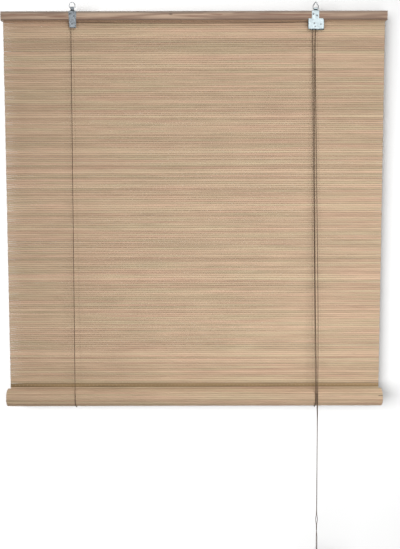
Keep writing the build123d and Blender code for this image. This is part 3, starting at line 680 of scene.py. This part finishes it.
# Routes in metres. The hanging runs go down, the slings from back to front, and the two runs on
# the rail from left to right.
REAR_RUNS = {
    "left": [(-0.253, 0.019, -0.0247), (-0.253, 0.019, -0.8237)],
    "right": [(0.2549, 0.019, -0.0247), (0.2549, 0.019, -0.8237)],
}
FRONT_RUNS = {
    "left": [(-0.2548, 0.0036, -0.04175), (-0.253, -0.022, -0.8237)],
    "right": [(0.2459, 0.0073, -0.04175), (0.2549, -0.022, -0.8237)],
}
SLING_ARC = [
    (0.019, -0.824), (0.019, -0.8295), (0.0135, -0.839), (0.004, -0.8445),
    (-0.007, -0.8445), (-0.0165, -0.839), (-0.022, -0.8295), (-0.022, -0.824),
]
RAIL_RUN = [
    (-0.2548, 0.0036, -0.0417), (-0.2548, 0.0036, -0.0385), (-0.243, 0.0036, -0.0385),
    (-0.13, 0.0036, -0.0399), (0.0, 0.0036, -0.0403), (0.13, 0.0036, -0.0399),
    (0.2407, 0.0036, -0.0385), (0.2523, 0.0036, -0.0385), (0.2523, 0.0036, -0.044),
    (0.2523, 0.0036, -0.0551),
]
LOCK_RUN = [
    (0.2459, 0.0073, -0.0417), (0.2459, 0.0073, -0.0385), (0.2523, 0.0073, -0.0385),
    (0.2523, 0.0073, -0.044), (0.2523, 0.0073, -0.0551),
]
PULL_TOPS = {
    "a": [
        (0.2523, 0.0036, -0.05515), (0.25, 0.003, -0.11), (0.251, -0.003, -0.3),
        (0.2533, -0.013, -0.6), (0.2555, -0.019, -0.72), (0.2565, -0.0216, -0.77),
        (0.2574, -0.022, -0.8237),
    ],
    "b": [
        (0.2523, 0.0073, -0.05515), (0.2514, 0.0067, -0.1), (0.254, 0.005, -0.2),
        (0.2568, -0.001, -0.4), (0.2598, -0.013, -0.62), (0.2597, -0.019, -0.72),
        (0.2595, -0.0216, -0.77), (0.2594, -0.022, -0.8237),
    ],
}
PULL_ENDS = {
    "a": [
        (0.2574, -0.022, -0.824), (0.2583, -0.0227, -0.852), (0.259, -0.0229, -0.884),
        (0.2591, -0.0229, -1.04), (0.2592, -0.0227, -1.074), (0.257, -0.0222, -1.0855),
        (0.2592, -0.0221, -1.097), (0.2589, -0.0227, -1.106), (0.2596, -0.0229, -1.1125),
        (0.2603, -0.0227, -1.119), (0.2607, -0.0221, -1.126), (0.2608, -0.022, -1.145),
        (0.2608, -0.022, -1.181),
    ],
    "b": [
        (0.2594, -0.022, -0.824), (0.2596, -0.0214, -0.852), (0.2593, -0.0212, -0.884),
        (0.2597, -0.0213, -1.04), (0.2596, -0.0214, -1.074), (0.2618, -0.0219, -1.0855),
        (0.2596, -0.0219, -1.097), (0.2601, -0.0214, -1.106), (0.2596, -0.0211, -1.1125),
        (0.2591, -0.0214, -1.119), (0.2589, -0.0219, -1.126), (0.2592, -0.022, -1.145),
        (0.2592, -0.022, -1.181),
    ],
}


def laid_cord(node, points, side, settings, material):
    """A twisted cord, of the set diameter, in the place of its CAD tube, which is hidden."""
    piece, line, length = twisted_cord(node + "_twisted", points, side, settings, material)
    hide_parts(node)
    return piece


class BLIND_OT_lift_cords(bpy.types.Operator):
    """Make the two lift cords: behind the mat, under the roll, up the front and through the pulleys"""

    bl_idname = "blind.lift_cords"
    bl_label = "Lift Cords"

    def execute(self, context):
        cord = context.scene.blind_cord
        material = cord_finish(cord)
        for hand in ("left", "right"):
            for run, points in (("rear", REAR_RUNS[hand]), ("front", FRONT_RUNS[hand])):
                piece = laid_cord(f"{hand}_cord_{run}_run", points, SIDEWAYS, cord, material)
                taut(piece)
            sling = [(REAR_RUNS[hand][0][0], y, z) for y, z in SLING_ARC]
            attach(laid_cord(f"{hand}_cord_sling", sling, SIDEWAYS, cord, material), "slings")
        for node, points, lay in (("left_cord_rail_run", RAIL_RUN, "taut"),
                                  ("right_cord_lock_run", LOCK_RUN, None)):
            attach(laid_cord(node, points, ACROSS_WALL, cord, material), "head")
        return {"FINISHED"}


class BLIND_OT_pull_cords(bpy.types.Operator):
    """Make the two pull cords from the lock down past the roll to the tassel"""

    bl_idname = "blind.pull_cords"
    bl_label = "Pull Cords"

    def execute(self, context):
        cord = context.scene.blind_cord
        material = bpy.data.materials["twisted_cord"]
        for strand in ("a", "b"):
            points = PULL_TOPS[strand]
            piece = laid_cord(f"pull_cord_{strand}_upper", points, SIDEWAYS, cord, material)
            taut(piece)
            points = PULL_ENDS[strand]
            piece = laid_cord(f"pull_cord_{strand}_lower", points, SIDEWAYS, cord, material)
            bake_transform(piece)
        return {"FINISHED"}


class BLIND_OT_knots(bpy.types.Operator):
    """Make the knots above the rear staples and inside the tassel"""

    bl_idname = "blind.knots"
    bl_label = "Knots"

    def execute(self, context):
        material = bpy.data.materials["twisted_cord"]
        (left, front, bottom), (right, back, top) = low("rear_knots"), high("rear_knots")
        size = (top - bottom) / 2
        for hand, x in (("left", left + size), ("right", right - size)):
            knot_piece(f"rear_knot_{hand}", "rear_knots", "head",
                       (x, (front + back) / 2, (bottom + top) / 2), size, material)
        ends = low("tassel_knot"), high("tassel_knot")
        knot_piece("tassel_knot_tied", "tassel_knot", "pull",
                   [(a + b) / 2 for a, b in zip(*ends)], (ends[1][0] - ends[0][0]) / 2, material)
        return {"FINISHED"}


# ---------------------------------------------------------------- mat


def slat_run(length, pitch, rng, open_gap=1.0):
    """Middles and half widths of slats side by side over a length. They are split by hand, so their
    widths and gaps are uneven. open_gap widens the gaps."""
    count = max(2, int(round(length / pitch)))
    width = rng.uniform(0.68, 1.12, count)
    gap = open_gap * (0.05 + 0.06 * rng.random(count) ** 2)
    step = (width + gap) * length / (width + gap).sum()
    share = width / (width + gap)
    edge = np.concatenate([[0], np.cumsum(step)])[:-1]
    return edge + step * share / 2, step * share / 2


def upright(rows):
    """Rows of depth and height, with a 0 put before them for X."""
    return np.insert(rows, 0, 0.0, axis=1)


def weave_threads(name, columns, places, outs, radius, start, material):
    """Warp threads: columns (c,) along X, places (s, 2) of slats in depth and height, outs (s, 2)
    the unit step out of the mat. A thread passes over one slat and under the next, so its offset
    from a slat's middle is - or + the mat's half thickness and 0.55 of its own radius, along outs.
    start is 0 where the first offset is -, and 1 where it is +."""
    count, stations, ring = len(columns), len(places), 4
    side = np.where((np.arange(stations) + start) % 2, 1.0, -1.0)
    half = (PANEL_BACK - PANEL_FRONT) / 2 + radius * 0.55
    out, across = upright(outs), np.array(SIDEWAYS)
    centre = upright(places) + side[:, None] * half * out + columns[:, None, None] * across
    angle = (np.arange(ring) + 0.5) / ring * 2 * np.pi
    points = ring_points(centre, across, out, radius * np.cos(angle), radius * np.sin(angle))
    quads, caps = tube_faces(count, stations, ring)
    return outward(mesh_piece(name, points.reshape(-1, 3), quads, material, caps))


def warp_pair(part, mat, rng, places, outs, radius, material):
    """The warp threads of a part of the mat, a little uneven along X, in two pieces: every second
    thread, and those between them, which pass the slats on the other side."""
    columns = np.arange(-HALF_WIDTH + 4 * MM, HALF_WIDTH - 5 * MM, mat.thread_spacing)
    columns = columns + rng.normal(0, 0.2 * MM, len(columns))
    return [weave_threads(f"{part}_warp_{side}", columns[start::2], places, outs, radius, start,
                          material)
            for start, side in enumerate(("over", "under"))]


def sway(x, run):
    """How far slats that lean on each other bend together: three waves along X, each a sine of x
    over its own wavelength, whose phase drifts with the run down the mat."""
    waves = ((0.18 * MM, 0.47, 9.0), (0.10 * MM, 0.19, -14.0), (0.07 * MM, 0.083, 23.0))
    return sum(size * np.sin(2 * np.pi * x / wave + drift * run + drift) for size, wave, drift in waves)


def slat_bars(name, middle, half_width, along, out, run, lean, short, rng, material, lath=0.0):
    """Slats as long bars along X. middle (s, 2) is each slat's place in depth and height, along
    and out its unit width and thickness directions, run its distance down the mat, lean its share
    of the common sway, short (s, 2) what its left and right ends lack of the full width, and lath 1
    where it has the lath's colour. Each bar also wanders a little by itself along both directions,
    its ends are uneven, and its width and thickness change along it. Two stations lie close
    together at each end, so that the end's face is crisp."""
    count, stations, ring = len(middle), 41, 8
    reach = HALF_WIDTH - short - 0.6 * MM * rng.random((count, 2))
    share = np.linspace(-1, 1, stations)
    share[1], share[-2] = -0.998, 0.998
    x = np.where(share[None] < 0, share[None] * reach[:, :1], share[None] * reach[:, 1:])
    def drift(size, knots):
        coarse = rng.normal(0, 1, (count, knots))
        at = (share + 1) / 2 * (knots - 1)
        below = np.minimum(at.astype(int), knots - 2)
        part = at - below
        return size * (coarse[:, below] * (1 - part) + coarse[:, below + 1] * part)
    slide = drift(0.04 * MM, 7) + lean[:, None] * sway(x, run[:, None])
    bulge = drift(0.05 * MM, 9)
    flat, rise = upright(along)[:, None], upright(out)[:, None]
    centre = upright(middle)[:, None] + slide[..., None] * flat + bulge[..., None] * rise
    centre[..., 0] = x
    thick = (PANEL_BACK - PANEL_FRONT) / 2 * rng.uniform(0.86, 1.0, (count, 1))
    width = half_width[:, None] * (1 + drift(0.02, 9))
    thick = thick * (1 + drift(0.03, 9))
    section = bar_section(ring, 3.4)
    places = ring_points(centre, flat, rise, width[..., None] * section[0], thick[..., None] * section[1])
    tone = np.repeat(rng.random(count), stations * ring)
    lath = np.repeat(np.broadcast_to(lath, count), stations * ring)
    quads, caps = tube_faces(count, stations, ring)
    return outward(mesh_piece(name, places.reshape(-1, 3), quads, material, caps,
                              slat_tone=tone, lath=lath))


class BLIND_OT_hanging_mat(bpy.types.Operator):
    """Make the hanging part of the mat from separate slats and warp threads"""

    bl_idname = "blind.hanging_mat"
    bl_label = "Hanging Mat"

    def execute(self, context):
        mat = context.scene.blind_mat
        rng = np.random.default_rng(mat.seed)
        bamboo, cotton = bamboo_finish(mat), thread_finish(mat)
        above, half_above = slat_run(PANEL_TOP - LATH_TOP, mat.slat_width, rng)
        below, half_below = slat_run(LATH_END - PANEL_END, mat.slat_width, rng)
        height = np.concatenate([PANEL_TOP - above, [(LATH_TOP + LATH_END) / 2], LATH_END - below])
        half = np.concatenate([half_above, [(LATH_TOP - LATH_END) / 2 - 0.1 * MM], half_below])
        lath = (np.arange(len(height)) == len(above)).astype(float)
        middle = np.column_stack([np.full(len(height), (PANEL_FRONT + PANEL_BACK) / 2), height])
        along = np.tile([0.0, 1.0], (len(height), 1))
        out = np.tile([1.0, 0.0], (len(height), 1))
        run = PANEL_TOP - height
        lean = np.clip(np.minimum(run, PANEL_TOP - LATH_TOP - run) / LEAN_FADE, 0.0, 1.0)
        short = np.column_stack([np.full(len(run), 1.2 * MM), 1.4 * MM + 0.002 * run])
        slats = slat_bars("hanging_slats", middle, half, along, out, run, lean, short, rng, bamboo, lath)
        threads = warp_pair("hanging", mat, rng, middle, out, mat.thread_radius, cotton)
        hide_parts("hanging_panel")
        for piece in (slats, *threads):
            taut(piece)
        return {"FINISHED"}


class BLIND_OT_rolled_mat(bpy.types.Operator):
    """Make the rolled part of the mat: slats on a spiral round the batten, and its outer threads"""

    bl_idname = "blind.rolled_mat"
    bl_label = "Rolled Mat"

    def execute(self, context):
        mat = context.scene.blind_mat
        rng = np.random.default_rng(mat.seed + 1)
        bamboo, cotton = bpy.data.materials["split_bamboo"], bpy.data.materials["warp_cotton"]
        half = (PANEL_BACK - PANEL_FRONT) / 2
        angle = np.linspace(0, ROLL_TURNS * 2 * np.pi, 4000)
        radius = ROLL_RADIUS - half - mat.layer_pitch * angle / (2 * np.pi)
        length = np.concatenate([[0], np.cumsum((radius[1:] + radius[:-1]) / 2 * np.diff(angle))])
        at, half_width = slat_run(length[-1], mat.slat_width, rng, LOOSE_GAPS)
        turn = np.interp(at, length, angle)
        reach = np.interp(at, length, radius)
        out = np.column_stack([np.cos(turn), -np.sin(turn)])
        along = np.column_stack([np.sin(turn), np.cos(turn)])
        middle = np.array([ROLL_Y, ROLL_Z]) + reach[:, None] * out
        slats = slat_bars("rolled_slats", middle, half_width, along, out, at, np.full(len(at), 0.3),
                          np.tile([0.0, 2 * MM], (len(at), 1)), rng, bamboo)
        outer = turn < 2 * np.pi + 0.3
        threads = warp_pair("rolled", mat, rng, middle[outer], out[outer], mat.thread_radius * 0.8, cotton)
        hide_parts("mat_roll")
        for piece in (slats, *threads):
            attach(piece, "roll")
        return {"FINISHED"}


# ---------------------------------------------------------------- carried-over pieces


def dress(material, *nodes):
    """Gives nodes of the frame a finish."""
    for node in nodes:
        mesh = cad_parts[node].data
        mesh.materials.clear()
        mesh.materials.append(material)


class BLIND_OT_timber(bpy.types.Operator):
    """Finish the head rail, the batten inside the roll and the turned tassel"""

    bl_idname = "blind.timber"
    bl_label = "Timber"

    def execute(self, context):
        wood = context.scene.blind_wood
        pale, deep = wood.rail_pale, wood.rail_deep
        dress(timber_finish("rail_timber", pale, deep, (9.0, 190.0, 190.0), wear_and_painted_light=rail_marks_and_painted_light), "head_rail")
        dress(timber_finish("batten_timber", tint(pale, 1.2), tint(deep, 1.3), (9.0, 260.0, 260.0)),
              "bottom_batten")
        dress(timber_finish("tassel_timber", wood.tassel_pale, wood.tassel_deep,
                            (420.0, 420.0, 45.0), 0.42), "tassel")
        return {"FINISHED"}


class BLIND_OT_fittings(bpy.types.Operator):
    """Finish the folded plates, screws, pins, rings, pulleys, cam and staples"""

    bl_idname = "blind.fittings"
    bl_label = "Metal Fittings"

    def execute(self, context):
        metal = context.scene.blind_metal
        fold = high("head_rail")[2] + 1.4 * MM
        sides = (low("lock_housing")[0], high("lock_housing")[0])
        dress(zinc_finish("bright_zinc_sheet", metal.bright, 0.5, 0.10, fold, sides,
                          low("lock_housing")[2]), "lock_housing")
        dress(zinc_finish("dull_zinc_sheet", metal.dull, 0.42, 0.55, fold, scale=520.0),
              "left_hanger")
        dress(worn_metal_finish("fixing_steel", metal.fixing, 0.38),
              "left_hanger_screws", "lock_housing_screws", "left_pulley_axle", "lock_pulley_axle",
              "lock_anvil_pin", "lock_cam_pin")
        dress(worn_metal_finish("ring_wire", metal.wire, 0.33), "right_ring")
        dress(worn_metal_finish("bright_ring_wire", tint(metal.wire, 2.0), 0.4), "left_ring")
        dress(worn_metal_finish("staple_wire", tint(metal.wire, 1.9), 0.4),
              "mat_staples", "cord_staples")
        dress(worn_metal_finish("turned_brass", metal.brass, 0.3),
              "left_pulley", "lock_pulley_front", "lock_pulley_rear")
        dress(worn_metal_finish("cast_zinc", (0.42, 0.43, 0.44), 0.45), "lock_cam")
        return {"FINISHED"}


# ---------------------------------------------------------------- stage


def stage_finish(name, colour, one_sided=False):
    """Plain paint. A one sided wall is seen only from the front."""
    f = Finish(name, 0.9)
    f.set("Base Color", f.blend(f.noise((3.0, 3.0, 3.0)), tint(colour, 0.985), colour))
    if one_sided:
        choose = f.node("MixShader", Fac=f.node("NewGeometry").outputs["Backfacing"])
        f.put(choose.inputs[1], f.surface.outputs[0])
        f.put(choose.inputs[2], f.node("BsdfTransparent").outputs[0])
        f.put(f.end.inputs[0], choose.outputs[0])
    return f.material


def room_world(front, back):
    """White to the eye; as a light, weak from the front half of the room and strong from behind,
    and from above several times as strong as from below."""
    world = bpy.data.worlds.new("room_light")
    world.use_nodes = True
    n = Nodes(world.node_tree, "Generated")
    lit = n.sum("MULTIPLY", n.span(n.axis("Y"), -0.1, 0.5, front, back),
                n.span(n.axis("Z"), -1.0, 1.0, 0.15, 1.85))
    seen = n.node("Mix", Factor=n.node("LightPath").outputs["Is Camera Ray"], A=lit, B=1.0)
    paint = n.tree.nodes["Background"]
    n.put(paint.inputs["Color"], (1.0, 1.0, 1.0))
    n.put(paint.inputs["Strength"], seen.outputs[0])
    return world


def stage_sheet(name, corners, material):
    """One flat four cornered sheet of the stage."""
    mesh = bpy.data.meshes.new(name)
    mesh.from_pydata(corners, [], [(0, 1, 2, 3)])
    mesh.materials.append(material)
    sheet = placed(name, mesh)
    return sheet


def soft_light(name, place, target, size, power):
    """A square white area light at a place, turned to a target."""
    data = bpy.data.lights.new(name, "AREA")
    data.shape = "RECTANGLE"
    data.size = data.size_y = size
    data.energy = power
    lamp = placed(name, data)
    lamp.location = place
    lamp.rotation_euler = (Vector(target) - Vector(place)).to_track_quat("-Z", "Y").to_euler()
    return lamp


def linked(name, state, *pieces):
    """A collection that a light includes or leaves out."""
    group = bpy.data.collections.new(name)
    for piece in pieces:
        group.objects.link(piece)
    for entry in group.collection_objects:
        entry.light_linking.link_state = state
    return group


def reach(lamp, state, *pieces):
    """Lets a light fall on these pieces alone, for INCLUDE, or on all but these, for EXCLUDE."""
    lamp.light_linking.receiver_collection = linked(lamp.name + "_reach", state, *pieces)


class BLIND_OT_camera(bpy.types.Operator):
    """Place the camera in front of the blind, level with the mat's middle and tipped down a little"""

    bl_idname = "blind.camera"
    bl_label = "Camera"

    def execute(self, context):
        data = bpy.data.cameras.new("front_camera")
        data.lens = CAMERA_LENS
        data.sensor_width = 36.0
        data.clip_start, data.clip_end = 0.05, 30.0
        camera = placed("front_camera", data)
        camera.matrix_world = (Matrix.Translation(CAMERA_PLACE)
                               @ Matrix.Rotation(math.radians(90 - CAMERA_TILT), 4, "X")
                               @ Matrix.Rotation(math.radians(CAMERA_ROLL), 4, "Z"))
        context.scene.camera = camera
        return {"FINISHED"}


class BLIND_OT_stage(bpy.types.Operator):
    """Set up the pale wall, the pale floor and the soft lights"""

    bl_idname = "blind.stage"
    bl_label = "Stage"

    def execute(self, context):
        stage = context.scene.blind_stage
        wall_y = PANEL_BACK + stage.wall_gap
        floor_z = low("tassel")[2] - stage.floor_gap
        wall = stage_sheet(
            "wall", [(x * WALL_SIDE, wall_y, z)
                     for x, z in ((-1, floor_z), (1, floor_z), (1, WALL_TOP), (-1, WALL_TOP))],
            stage_finish("wall_paint", (0.40, 0.40, 0.40), True))
        wall.visible_diffuse = wall.visible_shadow = False
        floor = stage_sheet(
            "floor", [(x * FLOOR_SIDE, y * FLOOR_SIDE, floor_z)
                      for x, y in ((-1, -1), (1, -1), (1, 1), (-1, 1))],
            stage_finish("floor_paint", (0.80, 0.80, 0.79)))
        floor.visible_diffuse = False
        lamps = {name: soft_light(name + "_light", place, target, width, getattr(stage, name + "_power"))
                 for name, place, target, width in LIGHTS}
        reach(lamps["left"], "EXCLUDE", wall)
        reach(lamps["top"], "EXCLUDE", wall)
        reach(lamps["wall"], "INCLUDE", wall)
        reach(lamps["roll"], "INCLUDE",
              *(bpy.data.objects["rolled_" + part] for part in ("slats", "warp_over", "warp_under")))
        lamps["wall"].light_linking.blocker_collection = linked(
            "wall_light_passes", "EXCLUDE", bpy.data.objects["head_rail"])
        context.scene.world = room_world(stage.room, stage.back)
        context.scene.view_settings.view_transform = "Standard"
        return {"FINISHED"}


OPERATORS = (
    BLIND_OT_camera, BLIND_OT_lift_cords, BLIND_OT_pull_cords, BLIND_OT_knots,
    BLIND_OT_hanging_mat, BLIND_OT_rolled_mat, BLIND_OT_timber, BLIND_OT_fittings, BLIND_OT_stage,
)


class BLIND_PT_panel(bpy.types.Panel):
    """Lists the pieces of the blind and their settings"""

    bl_idname = "BLIND_PT_panel"
    bl_label = "Bamboo Blind"
    bl_space_type = "VIEW_3D"
    bl_region_type = "UI"
    bl_category = "Blind"

    def draw(self, context):
        column = self.layout.column()
        for operator in OPERATORS:
            column.operator(operator.bl_idname)
        for name, group in SETTINGS.items():
            box = self.layout.box()
            box.label(text=group.__doc__)
            settings = getattr(context.scene, name)
            for setting in group.__annotations__:
                box.prop(settings, setting)


def register():
    for group in SETTINGS.values():
        bpy.utils.register_class(group)
    for name, group in SETTINGS.items():
        setattr(bpy.types.Scene, name, PointerProperty(type=group))
    for operator in OPERATORS:
        bpy.utils.register_class(operator)
    bpy.utils.register_class(BLIND_PT_panel)


def unregister():
    bpy.utils.unregister_class(BLIND_PT_panel)
    for operator in reversed(OPERATORS):
        bpy.utils.unregister_class(operator)
    for name, group in SETTINGS.items():
        delattr(bpy.types.Scene, name)
        bpy.utils.unregister_class(group)


def main():
    """Builds every piece in order."""
    register()
    for operator in OPERATORS:
        group, name = operator.bl_idname.split(".")
        getattr(getattr(bpy.ops, group), name)()


if __name__ == "__main__":
    main()
